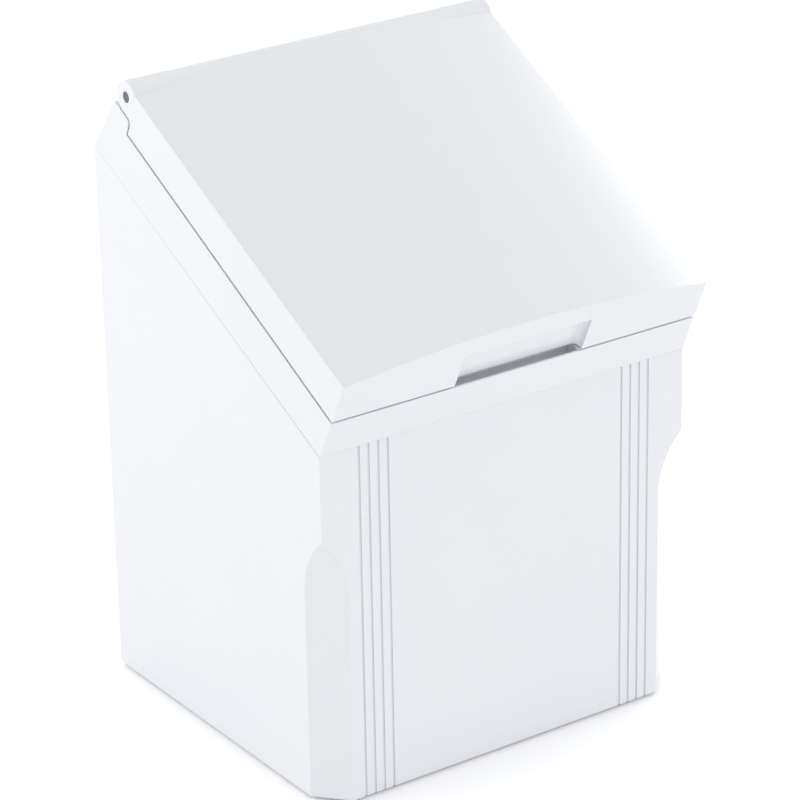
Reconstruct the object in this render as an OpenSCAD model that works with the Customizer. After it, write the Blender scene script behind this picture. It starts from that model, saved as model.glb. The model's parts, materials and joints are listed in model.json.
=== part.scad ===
// Top-loading household trash compactor: a white moulded cabinet with a sloped, full-size hinged lid.
// A ram plate rises on two power screws and squeezes the load against the closed, locked lid.

/* [Cabinet] */
// Width of the cabinet
body_w = 381; // [330:1:460]
// Depth of the cabinet at the floor
body_d = 342; // [318:1:420]
// Height of the front panel, from its lower edge to the collar
front_h = 329; // [300:1:400]
// Wall of the mouldings
wall = 3; // [2.4:0.1:3.4]
// Height of the cabinet's lower edge above the floor
foot_h = 3; // [2:0.5:8]
// Slope of the lid
lid_slope = 28; // [22:0.5:30]
// Slope of the cabinet's upper edge, where the collar sits
edge_slope = 27; // [21:0.5:29]

/* [Collar and lid] */
// Thickness of the collar, square to the lid
collar_t = 40; // [36:1:50]
// Thickness of the lid at its sides
lid_t = 40; // [36:1:48]
// Rise of the lid's crown in the middle of its front edge
crown = 17; // [8:1:20]
// Lean of the front faces of the collar and lid
face_lean = 25; // [20:0.5:27]
// Lean of the collar's rear face
rear_lean = 35; // [30:1:38]
// Set-in of the collar's sides at the parting line
collar_inset = 1.8; // [0.8:0.1:3]
// Draft of the collar's sides over its thickness
collar_draft = 1.5; // [0.5:0.1:1.5]
// Draft of the lid's sides over its thickness
lid_draft = 1.1; // [0.5:0.1:3]
// Parting gap between the collar and lid
parting_gap = 2.4; // [1.6:0.1:3]

/* [Front panel] */
// Number of grooves at each side
groove_count = 4; // [2:1:5]
// Distance from the cabinet's side to the first groove
groove_first = 38.7; // [34:0.1:60]
// Distance between grooves
groove_pitch = 9.7; // [6:0.1:11]
// Width of a groove
groove_w = 2.6; // [1.5:0.1:4]
// Depth of a groove
groove_depth = 1.2; // [0.6:0.1:1.4]
// Width of the corner chamfer on the front panel
chamfer_x = 25.6; // [18:0.2:28]
// Width of the corner chamfer on the side wall
chamfer_y = 28; // [18:0.2:30]
// Height where the straight chamfer ends
chamfer_h = 197; // [140:1:220]
// Height of the arched scoop above the straight chamfer
scoop_h = 55; // [40:1:70]

/* [Finger recess] */
// Width of the recess in the lid's front
recess_w = 132; // [100:1:160]
// Height of the recess above the parting line
recess_h = 36; // [26:1:38]
// Depth of the recess
recess_depth = 8; // [6:0.5:12]
// Radius of the recess's inner corners
recess_r = 6; // [2:0.5:6]
// Depth of the collar's finger trough below the recess
trough_h = 12; // [8:1:16]

/* [Hinge] */
// Radius of the lid's hinge knuckle
knuckle_r = 14.5; // [13.5:0.1:15]
// Radius of the hinge pins
hinge_pin_r = 5; // [4:0.1:6]
// Wall of the hinge bushes
bush_wall = 2; // [1.5:0.1:2.2]
// Distance along the slope from the front parting edge to where the collar steps up
hinge_inset = 33; // [30:1:40]
// Width of each hinge lug
lug_w = 24; // [16:1:36]
// Distance of each lug's middle from the middle of the cabinet
lug_x = 132; // [100:1:140]

/* [Chamber and ram] */
// Inner width of the chamber
chamber_w = 270; // [236:1:300]
// Inner depth of the chamber
chamber_d = 210; // [180:1:216]
// Distance from the front panel to the chamber
chamber_front = 50; // [48:1:60]
// Sheet thickness of the chamber and frame
sheet = 1.2; // [0.8:0.1:2]
// Travel of the ram
ram_travel = 240; // [150:5:250]
// Height of the ram's pressing face when it is down
ram_rest_z = 86; // [82:1:92]
// Depth of the cross beam under the ram
beam_d = 40; // [34:1:50]
// Height of the cross beam
beam_h = 24; // [18:1:26]

/* [Drive] */
// Radius of the lift screws
screw_r = 8; // [6:0.5:9]
// Radius of the screws' bearing journals
journal_r = 5; // [4:0.5:5.5]
// Distance from the chamber to the screws' axes
screw_gap = 24; // [21:1:26]
// Radius of the pulleys on the screws
screw_pulley_r = 19; // [15:0.5:20]
// Radius of the pulley on the motor
motor_pulley_r = 12; // [10:0.5:18]
// Width of the drive belt
belt_w = 10; // [8:1:12]
// Thickness of the drive belt
belt_t = 2; // [1.5:0.1:3]
// Radius of the motor
motor_r = 34; // [28:1:34]
// Length of the motor
motor_len = 105; // [80:1:140]

/* [Controls and lock] */
// Radius of the start button
button_r = 8; // [6:0.5:9]
// Travel of the start button
button_travel = 2; // [1:0.1:2.4]
// Swing of the lock hook
lock_throw = 30; // [26:1:32]

/* [Hidden] */

$fn = 64;

// Clearances
fit = 0.02;        // radial gap of a fixed pin in its own body
run = 0.05;        // radial running gap of a shaft
slip = 0.3;        // gap between neighbouring pieces that don't touch
clear = 1;         // gap round a moving piece

// Cabinet frame
base_z = foot_h;
edge_z = base_z + front_h;
front_tilt = lid_slope - face_lean;
rear_tilt = rear_lean - lid_slope;
lid_reach = (collar_t + lid_t + crown) / cos(front_tilt) * sin(face_lean);
total_d = body_d + lid_reach;
front_y = lid_reach - total_d / 2;
rear_y = total_d / 2;
rear_top_z = edge_z + body_d * tan(edge_slope);
half_w = body_w / 2;
inner_half = half_w - wall;

// Slope frame: its origin is the middle of the front parting edge, u runs up the slope, v is square to it
collar_face = collar_t / cos(front_tilt);
parting_y = front_y - collar_face * sin(face_lean);
parting_z = edge_z + collar_face * cos(face_lean);
half_gap = parting_gap / 2;
front_rate = tan(front_tilt);
rear_rate = tan(rear_tilt);
function u_at(y, v) = (y - parting_y + v * sin(lid_slope)) / cos(lid_slope);
function u_of(y, z) = (y - parting_y) * cos(lid_slope) + (z - parting_z) * sin(lid_slope);
function v_of(y, z) = (z - parting_z) * cos(lid_slope) - (y - parting_y) * sin(lid_slope);
rear_u = u_of(rear_y, rear_top_z);
rear_v = v_of(rear_y, rear_top_z);

// Hinge
cradle_v = 12.6;
cradle_gap = 2.4;
pin_v = cradle_v + cradle_gap + knuckle_r;
rear_edge_u = rear_u - (cradle_v - rear_v) * rear_rate;
pin_u = rear_edge_u - knuckle_r + 1.5;
step_u = rear_edge_u - hinge_inset + 5;
lid_step_u = step_u - 3;
lug_r = hinge_pin_r + bush_wall + 2.5;
pin_start = lug_x - lug_w / 2 - 8;
pin_draft = lid_draft * pin_v / lid_t;
pin_end = half_w - collar_inset - pin_draft;

// Chamber
chamber_y0 = front_y + chamber_front;
chamber_y1 = chamber_y0 + chamber_d;
chamber_mid = (chamber_y0 + chamber_y1) / 2;
chamber_half = chamber_w / 2;
rim_gap = 1.5;
mouth_half = chamber_half - rim_gap - wall;
mouth_y0 = chamber_y0 + rim_gap + wall;
mouth_y1 = chamber_y1 - rim_gap - wall;
mouth_u0 = u_at(mouth_y0, -half_gap);
mouth_u1 = u_at(mouth_y1, -half_gap);

// Levels
tray_t = 2;
tray_z = base_z + 1;
floor_z = tray_z + tray_t;
bearing_h = 16;
pulley_z = floor_z + bearing_h + 2;
pulley_w = belt_w + 4;
rail_z = pulley_z + pulley_w + 2;
rail_t = 3;
liner_z = rail_z + rail_t;
plate_t = 3;
beam_top = ram_rest_z - plate_t;
nut_flange_t = 6;
shelf_z = beam_top + nut_flange_t + ram_travel + 6;
shelf_t = 3;
slot_w = beam_d + 6;

// Drive
screw_x = chamber_half + sheet + screw_gap;
motor_y = chamber_y1 + sheet + 3 + motor_r;
belt_r = belt_t + slip;
seat_r = journal_r + 1;
shaft_r = 4;
nut_r = screw_r + 4;
upright_x = inner_half - tray_t - 2 * slip;
upright_t = 2;
upright_d = 84;

// Lid
liner_u0 = wall + 0.8;
notch_u = recess_depth + wall + 1;
liner_v = 4;
liner_t = 2;
trough_u0 = 1.6;
trough_u1 = recess_depth + wall + 1.5;
trough_t = 2;
lid_inner_u1 = lid_step_u - wall;
striker_u = 51;
striker_t = 3;
striker_v = -26;
pivot_u = 34;
pivot_v = -32;
hook_w = 7;
deck_v = -half_gap - wall;

// Controls
panel_u = (mouth_u1 + wall + step_u) / 2;
panel_t = 2;
panel_top = panel_t - half_gap;
panel_half_w = 56;
gasket_reach = 8;
panel_gap = 0.7;
panel_half_d = max(button_r + 1.5, min(12, panel_u - mouth_u1 - gasket_reach - panel_gap));

white = "white";
steel = "lightsteelblue";
dark = "dimgray";

// ---------- helpers ----------

// An outline in Y and Z, drawn along X over a width
module along_x(width, mid = 0) {
  translate([mid - width / 2, 0, 0])
    rotate([90, 0, 90])
      linear_extrude(width) children();
}

// An outline in X and Z, drawn along Y between two places
module along_y(from, to) {
  translate([0, to, 0])
    rotate([90, 0, 0])
      linear_extrude(to - from) children();
}

// Things placed in the slope frame
module on_slope() {
  translate([0, parting_y, parting_z])
    rotate([lid_slope, 0, 0]) children();
}

// A box between two corners
module block(low, high) {
  translate(low) cube(high - low);
}

// A rod along X
module rod_x(r, from, to) {
  translate([from, 0, 0])
    rotate([0, 90, 0]) cylinder(r = r, h = to - from);
}

// A tube along Z
module tube(r_out, r_in, h) {
  difference() {
    cylinder(r = r_out, h = h);
    translate([0, 0, -1]) cylinder(r = r_in, h = h + 2);
  }
}

module mirror_x(side) {
  mirror([side < 0 ? 1 : 0, 0, 0]) children();
}

// ---------- cabinet ----------

corner_l = sqrt(chamfer_x * chamfer_x + chamfer_y * chamfer_y);
corner_depth = chamfer_x * chamfer_y / corner_l;
corner_turn = -atan2(chamfer_x, chamfer_y);
scoop_r = (scoop_h * scoop_h + corner_depth * corner_depth) / (2 * corner_depth);

// What is cut off a front corner; extra moves the surface inwards
module corner_cut(side, extra) {
  mirror_x(side)
    translate([half_w, front_y, base_z])
      rotate([0, 0, corner_turn])
        along_y(-corner_l, corner_l) {
          translate([-corner_depth - extra, -foot_h])
            square([corner_depth + 40, chamfer_h + foot_h]);
          translate([scoop_r - corner_depth, chamfer_h])
            intersection() {
              circle(r = scoop_r + extra, $fn = 160);
              translate([-2 * scoop_r, -1]) square([2 * scoop_r, 2 * scoop_r]);
            }
        }
}

module cabinet_prism(inset, top_extra) {
  difference() {
    along_x(body_w - 2 * inset)
      polygon([
        [front_y + inset, base_z - (inset > 0 ? 1 : 0)],
        [rear_y + (inset > 0 ? 1 : 0), base_z - (inset > 0 ? 1 : 0)],
        [rear_y + (inset > 0 ? 1 : 0), rear_top_z + top_extra],
        [front_y + inset, edge_z + top_extra]
      ]);
    for (side = [-1, 1]) corner_cut(side, inset);
  }
}

flange_w = 12;
flange_t = 2.5;
cover_t = 2;
cover_y = rear_y - 2 - cover_t;

module casing() {
  color(white) {
    difference() {
      cabinet_prism(0, 0);
      cabinet_prism(wall, 40);
      for (side = [-1, 1], i = [0 : groove_count - 1])
        translate([side * (half_w - groove_first - i * groove_pitch), front_y - 1, base_z - 1])
          translate([-groove_w / 2, 0, 0]) cube([groove_w, groove_depth + 1, front_h + 30]);
    }
    for (side = [-1, 1])
      mirror_x(side)
        difference() {
          block([inner_half - flange_w, cover_y - flange_t, base_z + 4],
                [inner_half + 0.5, cover_y, rear_top_z - 30]);
          cover_holes(screw_hole_r);
        }
  }
}

screw_hole_r = 2;
cover_screw_z = [base_z + 30, (base_z + rear_top_z) / 2, rear_top_z - 60];

// Places of the rear cover's screws on one side
module cover_screw_places() {
  for (z = cover_screw_z)
    translate([inner_half - flange_w / 2, cover_y, z]) children();
}

module cover_holes(r) {
  cover_screw_places()
    rotate([90, 0, 0])
      translate([0, 0, -10]) cylinder(r = r, h = 30);
}

inlet_x = 110;
inlet_z = 62;
inlet_w = 30;
inlet_h = 22;
vent_count = 8;
vent_l = 120;
vent_w = 4;
vent_z = 100;
vent_pitch = 12;

module rear_cover() {
  color("gainsboro")
    difference() {
      block([-inner_half + slip, cover_y, base_z + 2],
            [inner_half - slip, cover_y + cover_t, rear_top_z - 4]);
      for (side = [-1, 1])
        mirror_x(side) cover_holes(screw_hole_r + slip);
      block([inlet_x - inlet_w / 2 + 2, cover_y - 1, inlet_z - inlet_h / 2 + 2],
            [inlet_x + inlet_w / 2 - 2, cover_y + 5, inlet_z + inlet_h / 2 - 2]);
      for (i = [0 : vent_count - 1])
        translate([-vent_l / 2, cover_y - 1, base_z + vent_z + vent_pitch * i]) cube([vent_l, 5, vent_w]);
    }
}

module cover_screws() {
  color(steel)
    for (side = [-1, 1])
      mirror_x(side)
        cover_screw_places() {
          translate([0, cover_t + 2, 0])
            rotate([90, 0, 0]) cylinder(r = 4, h = 2);
          translate([0, cover_t, 0])
            rotate([90, 0, 0]) cylinder(r = screw_hole_r - fit, h = cover_t + 8);
        }
}

tray_rim = 14;
foot_inset = 42;
foot_r = 14;
foot_stud_r = 3;
foot_places = [
  for (x = [-1, 1], y = [front_y + foot_inset, rear_y - foot_inset]) [x * (half_w - foot_inset), y]
];

module base_tray() {
  low = [-inner_half + slip, front_y + wall + slip, tray_z];
  high = [inner_half - slip, cover_y - flange_t - slip, floor_z + tray_rim];
  color(steel)
    difference() {
      block(low, high);
      block([low[0] + tray_t, low[1] + tray_t, floor_z],
            [high[0] - tray_t, high[1] - tray_t, high[2] + 1]);
      for (side = [-1, 1]) corner_cut(side, wall + slip);
      for (p = foot_places) translate([p[0], p[1], 0]) cylinder(r = foot_stud_r, h = 20);
    }
}

module rubber_feet() {
  color("black")
    for (p = foot_places)
      translate([p[0], p[1], 0]) {
        cylinder(r = foot_r, h = tray_z);
        translate([0, 0, tray_z]) cylinder(r = foot_stud_r - fit, h = tray_t + 2);
      }
}

// ---------- collar ----------

module collar_outline(inset) {
  low = inset > 0 ? 30 : 0;
  a = [-collar_t * front_rate + inset, -collar_t];
  b = [rear_u - inset, rear_v];
  polygon([
    [a[0] - low * front_rate, a[1] - low],
    [-half_gap * front_rate + inset, -half_gap - inset],
    [step_u + inset, -half_gap - inset],
    [step_u + inset + 2, cradle_v - inset],
    [rear_edge_u - inset, cradle_v - inset],
    b,
    [b[0] + low * rear_rate, b[1] - low]
  ]);
}

module collar_section(inset) {
  low = -collar_t - 30;
  high = cradle_v + 20;
  rate = collar_draft / collar_t;
  wide = half_w - collar_inset - inset - low * rate;
  narrow = half_w - collar_inset - inset - high * rate;
  polygon([[-wide, low], [wide, low], [narrow, high], [-narrow, high]]);
}

module collar_solid(inset) {
  on_slope()
    intersection() {
      along_x(body_w + 40) collar_outline(inset);
      along_y(-60, rear_u + 60) collar_section(inset);
    }
}

module lug_outline() {
  low = -knuckle_r - cradle_gap - wall;
  circle(r = lug_r);
  polygon([[-9, low], [2, low], [2, -lug_r + 1], [-7, -6]]);
}

// Trough that the fingertips reach into, below the lid's recess
module finger_trough(inset) {
  half = recess_w / 2 - trough_t;
  on_slope()
    block([-half - trough_t + inset, inset > 0 ? trough_u0 : -1, -half_gap - trough_h - trough_t + inset],
          [half + trough_t - inset, trough_u1 + trough_t - inset, inset > 0 ? 10 : -half_gap]);
}

module collar() {
  lock_u0 = striker_u - 7;
  color(white)
    difference() {
      union() {
        difference() {
          collar_solid(0);
          difference() {
            collar_solid(wall);
            block([-mouth_half - wall, mouth_y0 - wall, edge_z - 20],
                  [mouth_half + wall, mouth_y1 + wall, 900]);
          }
          translate([0, 0, -0.5]) cabinet_prism_below();
        }
        intersection() {
          collar_solid(0);
          finger_trough(0);
        }
        for (side = [-1, 1])
          on_slope()
            translate([0, pin_u, pin_v])
              along_x(lug_w, side * lug_x) lug_outline();
      }
      block([-mouth_half, mouth_y0, 0], [mouth_half, mouth_y1, 900]);
      finger_trough(trough_t);
      on_slope() {
        for (side = [-1, 1])
          translate([0, pin_u, pin_v])
            rod_x(hinge_pin_r + bush_wall, side * lug_x - lug_w, side * lug_x + lug_w);
        block([-14, lock_u0, -10], [14, striker_u + 7, 1]);
        translate([button_x, panel_u, -10]) cylinder(r = button_r + clear, h = 12);
        translate([lamp_x, panel_u, -10]) cylinder(r = lamp_r + slip, h = 12);
        block([rocker_x - rocker_lug_x - slip, panel_u - rocker_d / 2 - clear, -10],
              [rocker_x + rocker_lug_x + slip, panel_u + rocker_d / 2 + clear, 2]);
      }
    }
}

// Everything below the plane of the cabinet's upper edge
module cabinet_prism_below() {
  along_x(body_w + 40)
    polygon([
      [front_y - 60, edge_z - 60 * tan(edge_slope) + 0.5],
      [rear_y + 60, rear_top_z + 60 * tan(edge_slope) + 0.5],
      [rear_y + 60, 0],
      [front_y - 60, 0]
    ]);
}

module hinge_bush(side) {
  color("beige")
    on_slope()
      translate([0, pin_u, pin_v])
        difference() {
          rod_x(hinge_pin_r + bush_wall - fit, side * lug_x - lug_w / 2, side * lug_x + lug_w / 2);
          rod_x(hinge_pin_r + run, side * lug_x - lug_w, side * lug_x + lug_w);
        }
}

module bag_ring() {
  ring_t = 1.6;
  color(steel) {
    on_slope()
      difference() {
        block([-mouth_half - 3, mouth_u0 - 3, -half_gap],
              [mouth_half + 3, mouth_u1 + 3, -half_gap + ring_t]);
        block([-mouth_half + 2, mouth_u0 + 2, -5], [mouth_half - 2, mouth_u1 - 2, 5]);
      }
    intersection() {
      difference() {
        block([-mouth_half + 1, mouth_y0 + 1, edge_z], [mouth_half - 1, mouth_y1 - 1, 900]);
        block([-mouth_half + 2, mouth_y0 + 2, 0], [mouth_half - 2, mouth_y1 - 2, 950]);
      }
      on_slope() block([-half_w, -50, -18], [half_w, rear_u, -half_gap + ring_t]);
    }
  }
}

// ---------- chamber and frame ----------

module chamber_liner() {
  color("silver")
    difference() {
      block([-chamber_half - sheet, chamber_y0 - sheet, liner_z],
            [chamber_half + sheet, chamber_y1 + sheet, rear_top_z]);
      block([-chamber_half, chamber_y0, 0], [chamber_half, chamber_y1, 900]);
      on_slope() block([-half_w, -60, deck_v - 4], [half_w, rear_u + 60, 200]);
      block([-half_w, chamber_mid - slot_w / 2, 0],
            [half_w, chamber_mid + slot_w / 2, beam_top + ram_travel + 4]);
    }
}

module rail(y0, y1) {
  half = upright_x - upright_t - 3;
  color(steel)
    difference() {
      block([-half, y0, floor_z], [half, y1, liner_z]);
      block([-half + rail_t, y0 - 1, 0], [half - rail_t, y1 + 1, rail_z]);
    }
}

module front_rail() {
  rail(chamber_y0 - 12, chamber_y0 + 3);
}

module rear_rail() {
  rail(chamber_y1 - 3, chamber_y1 + sheet);
}

frame_screw_y = [chamber_mid - upright_d / 2 + 10, chamber_mid + upright_d / 2 - 10];

// C-shaped side bracket that carries one lift screw
module upright(side) {
  inner_x = chamber_half + sheet + 2;
  color(steel)
    mirror_x(side)
      difference() {
        block([inner_x, chamber_mid - upright_d / 2, floor_z],
              [upright_x, chamber_mid + upright_d / 2, shelf_z + shelf_t]);
        block([inner_x - 1, chamber_mid - upright_d, floor_z + upright_t],
              [upright_x - upright_t, chamber_mid + upright_d, shelf_z]);
        translate([screw_x, chamber_mid, floor_z - 1]) cylinder(r = 17, h = 5);
        translate([screw_x, chamber_mid, shelf_z - 1]) cylinder(r = journal_r + 3, h = 6);
        for (y = frame_screw_y)
          translate([screw_x, y, floor_z - 1]) cylinder(r = 3, h = 6);
      }
}

module frame_screws() {
  color(steel)
    for (side = [-1, 1], y = frame_screw_y)
      translate([side * screw_x, y, floor_z]) {
        cylinder(r = 3 - fit, h = upright_t);
        translate([0, 0, upright_t]) cylinder(r = 5.5, h = 4, $fn = 6);
      }
}

module lower_bearing(side) {
  color("gray")
    translate([side * screw_x, chamber_mid, floor_z])
      difference() {
        cylinder(r = 16, h = bearing_h);
        translate([0, 0, 4]) cylinder(r = journal_r + run, h = bearing_h);
      }
}

module upper_bearing(side) {
  color("gray")
    translate([side * screw_x, chamber_mid, shelf_z + shelf_t]) {
      tube(journal_r + 6, journal_r + run, 12);
      tube(journal_r + 10, journal_r + run, 3);
    }
}

// ---------- ram ----------

plate_half = chamber_half - 4;
plate_y0 = chamber_y0 + 4;
plate_y1 = chamber_y1 - 4;
plate_rim = 12;
wiper_gap = 0.6;
wiper_h = 8;
bolt_r = 3;
bolt_x = 90;
bolt_y = 10;
beam_t = 3;

// Places of the bolts that hold the plate to the beam
module bolt_places() {
  for (x = [-1, 1], y = [-1, 1])
    translate([x * bolt_x, chamber_mid + y * bolt_y, 0]) children();
}

// Room that the beam takes from the plate's rim and the wiper
module beam_room() {
  block([-half_w, chamber_mid - beam_d / 2 - slip, 0],
        [half_w, chamber_mid + beam_d / 2 + slip, beam_top]);
}

module ram_plate() {
  color("silver")
    difference() {
      block([-plate_half, plate_y0, ram_rest_z - plate_rim], [plate_half, plate_y1, ram_rest_z]);
      block([-plate_half + sheet, plate_y0 + sheet, 0], [plate_half - sheet, plate_y1 - sheet, beam_top]);
      beam_room();
      bolt_places() cylinder(r = bolt_r, h = 200);
    }
}

module ram_wiper() {
  color("black")
    difference() {
      block([-chamber_half + wiper_gap, chamber_y0 + wiper_gap, ram_rest_z - wiper_h],
            [chamber_half - wiper_gap, chamber_y1 - wiper_gap, ram_rest_z]);
      block([-plate_half, plate_y0, 0], [plate_half, plate_y1, 200]);
      beam_room();
    }
}

// Folded channel with closed ends that carry the nuts
module ram_beam() {
  end_x = screw_x + nut_r + 5;
  color(steel)
    difference() {
      block([-end_x, chamber_mid - beam_d / 2, beam_top - beam_h],
            [end_x, chamber_mid + beam_d / 2, beam_top]);
      block([-chamber_half - 6, chamber_mid - beam_d / 2 + beam_t, 0],
            [chamber_half + 6, chamber_mid + beam_d / 2 - beam_t, beam_top - beam_t]);
      for (side = [-1, 1])
        translate([side * screw_x, chamber_mid, 0]) cylinder(r = nut_r, h = 200);
      bolt_places() cylinder(r = bolt_r, h = 200);
    }
}

module screw_nut(side) {
  color("goldenrod")
    translate([side * screw_x, chamber_mid, 0])
      difference() {
        union() {
          translate([0, 0, beam_top - beam_h - 4]) cylinder(r = nut_r - fit, h = beam_h + 5);
          translate([0, 0, beam_top]) cylinder(r = nut_r + 4, h = nut_flange_t);
        }
        cylinder(r = screw_r + run, h = 300);
      }
}

module ram_bolts() {
  color(steel)
    bolt_places() {
      translate([0, 0, ram_rest_z]) cylinder(r = 5, h = 2);
      translate([0, 0, beam_top - beam_t]) cylinder(r = bolt_r - fit, h = plate_t + beam_t + 0.5);
      translate([0, 0, beam_top - beam_t - 5]) cylinder(r = 5, h = 5, $fn = 6);
    }
}

// ---------- drive ----------

module lift_screw(side) {
  low = floor_z + 4.2;
  color(steel)
    translate([side * screw_x, chamber_mid, 0]) {
      translate([0, 0, low]) cylinder(r = journal_r, h = pulley_z - low + 1);
      translate([0, 0, pulley_z]) cylinder(r = seat_r, h = pulley_w + 0.5);
      translate([0, 0, pulley_z + pulley_w])
        cylinder(r = screw_r, h = shelf_z - 1 - pulley_z - pulley_w);
      translate([0, 0, shelf_z - 2]) cylinder(r = journal_r, h = shelf_t + 16);
    }
}

// Flat belt pulley with a rim at each side
module pulley(r, bore_r) {
  difference() {
    union() {
      cylinder(r = r, h = pulley_w);
      cylinder(r = r + 2, h = 1.4);
      translate([0, 0, pulley_w - 1.4]) cylinder(r = r + 2, h = 1.4);
    }
    translate([0, 0, -1]) cylinder(r = bore_r, h = pulley_w + 2);
  }
}

module screw_pulley(side) {
  color(dark)
    translate([side * screw_x, chamber_mid, pulley_z]) pulley(screw_pulley_r, seat_r + fit);
}

gearbox_h = 26;
bracket_z = rail_z + 1;
bracket_t = 3;
gearbox_z = bracket_z + bracket_t;

module drive_motor() {
  color(dark)
    translate([0, motor_y, gearbox_z])
      difference() {
        union() {
          cylinder(r = motor_r, h = gearbox_h);
          translate([0, 0, gearbox_h]) cylinder(r = motor_r - 4, h = motor_len);
          translate([0, 0, gearbox_h + motor_len]) cylinder(r = 10, h = 6);
        }
        translate([0, 0, -1]) cylinder(r = shaft_r + run, h = 15);
      }
}

module motor_bracket() {
  half = motor_r + 12;
  color(steel)
    difference() {
      block([-half, motor_y - motor_r, floor_z], [half, motor_y + motor_r, gearbox_z]);
      block([-half + bracket_t, motor_y - motor_r - 1, 0],
            [half - bracket_t, motor_y + motor_r + 1, bracket_z]);
      block([-half - 1, motor_y - motor_r - 1, 0], [half + 1, motor_y - 8, bracket_z]);
      translate([0, motor_y, 0]) cylinder(r = shaft_r + 6, h = 100);
    }
}

module motor_shaft() {
  color(steel)
    translate([0, motor_y, pulley_z]) cylinder(r = shaft_r, h = gearbox_z + 12 - pulley_z);
}

module motor_pulley() {
  color(dark)
    translate([0, motor_y, pulley_z]) pulley(motor_pulley_r, shaft_r + fit);
}

belt_z = pulley_z + (pulley_w - belt_w) / 2;
run_l = sqrt(pow(screw_x, 2) + pow(motor_y - chamber_mid, 2));
run_turn = atan2(chamber_mid - motor_y, screw_x);
run_tilt = asin((screw_pulley_r - motor_pulley_r) / run_l);

// Outside direction of the belt's straight run on the right
run_normal = 90 + run_turn + run_tilt;

function rim_point(centre, r, angle) = [centre[0] + r * cos(angle), centre[1] + r * sin(angle)];

// Points along a pulley's rim between two directions
function rim_arc(centre, r, from, to, steps) =
  [for (i = [0 : steps]) rim_point(centre, r, from + (to - from) * i / steps)];

module belt_loop(extra) {
  rs = screw_pulley_r + extra;
  polygon(concat(
    rim_arc([screw_x, chamber_mid], rs, -90, run_normal, 32),
    rim_arc([0, motor_y], motor_pulley_r + extra, run_normal, 180 - run_normal, 12),
    rim_arc([-screw_x, chamber_mid], rs, 180 - run_normal, 270, 32)
  ));
}

module drive_belt() {
  color("black")
    translate([0, 0, belt_z])
      linear_extrude(belt_w)
        difference() {
          belt_loop(belt_r);
          belt_loop(slip);
        }
}

// The idler bears on the outside of the belt's right run
idler_r = 9;
idler_share = 0.45;
idler_base = [
  idler_share * screw_x,
  motor_y + idler_share * (chamber_mid - motor_y)
];
idler_run_r = motor_pulley_r + idler_share * (screw_pulley_r - motor_pulley_r);
idler_at = rim_point(idler_base, idler_run_r / cos(run_tilt) + belt_r + slip + idler_r, run_normal);

module idler_roller() {
  color(dark)
    translate([idler_at[0], idler_at[1], pulley_z]) tube(idler_r, 3 + run, pulley_w);
}

module idler_bracket() {
  color(steel)
    translate([idler_at[0], idler_at[1], 0]) {
      translate([0, 0, floor_z]) cylinder(r = 8, h = pulley_z - floor_z - 0.5);
      translate([0, 0, floor_z]) cylinder(r = 3, h = pulley_z + pulley_w + 1 - floor_z);
      translate([0, 0, pulley_z + pulley_w + 0.5]) cylinder(r = 5, h = 1.5);
    }
}

// ---------- electrics ----------

board_x0 = 56;
board_z0 = shelf_z - 110;

module control_board() {
  stand = 6;
  y = chamber_y1 + sheet + stand;
  color("darkgreen") {
    block([board_x0, y, board_z0], [board_x0 + 90, y + 1.6, board_z0 + 110]);
    for (x = [6, 84], z = [6, 104])
      translate([board_x0 + x, y, board_z0 + z]) rotate([90, 0, 0]) cylinder(r = 3, h = stand);
    block([board_x0 + 10, y + 1.6, board_z0 + 16], [board_x0 + 30, y + 18, board_z0 + 46]);
    block([board_x0 + 36, y + 1.6, board_z0 + 16], [board_x0 + 56, y + 18, board_z0 + 46]);
    block([board_x0 + 14, y + 1.6, board_z0 + 62], [board_x0 + 60, y + 26, board_z0 + 92]);
    translate([board_x0 + 74, y + 1.6, board_z0 + 40]) rotate([-90, 0, 0]) cylinder(r = 8, h = 22);
  }
}

module motor_capacitor() {
  color("gray")
    translate([-motor_r - 62, motor_y, floor_z]) {
      cylinder(r = 22, h = 6);
      cylinder(r = 18, h = 72);
      for (x = [-6, 6]) translate([x, 0, 72]) cylinder(r = 2, h = 7);
    }
}

// Appliance inlet for a plug-in mains lead
module power_inlet() {
  body_w2 = inlet_w / 2 - 2 - slip;
  body_h2 = inlet_h / 2 - 2 - slip;
  socket_d = 18;
  translate([inlet_x, rear_y, inlet_z]) {
    color("black")
      difference() {
        union() {
          block([-inlet_w / 2, -2, -inlet_h / 2], [inlet_w / 2, 0, inlet_h / 2]);
          block([-body_w2, -24, -body_h2], [body_w2, -1, body_h2]);
        }
        block([-11, -socket_d, -7], [11, 1, 7]);
      }
    color(steel)
      for (x = [-7, 0, 7])
        block([x - 1, -socket_d - 0.5, x == 0 ? 0.5 : -4], [x + 1, -4, x == 0 ? 4.5 : 0]);
  }
}

button_x = -34;
lamp_x = 0;
lamp_r = 3;
rocker_x = 34;
rocker_w = 20;
rocker_d = 13;
rocker_v = panel_top - 3;
rocker_pin_r = 1.5;
rocker_lug_x = rocker_w / 2 + slip + 2.5;
button_rise = 0.8;

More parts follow.
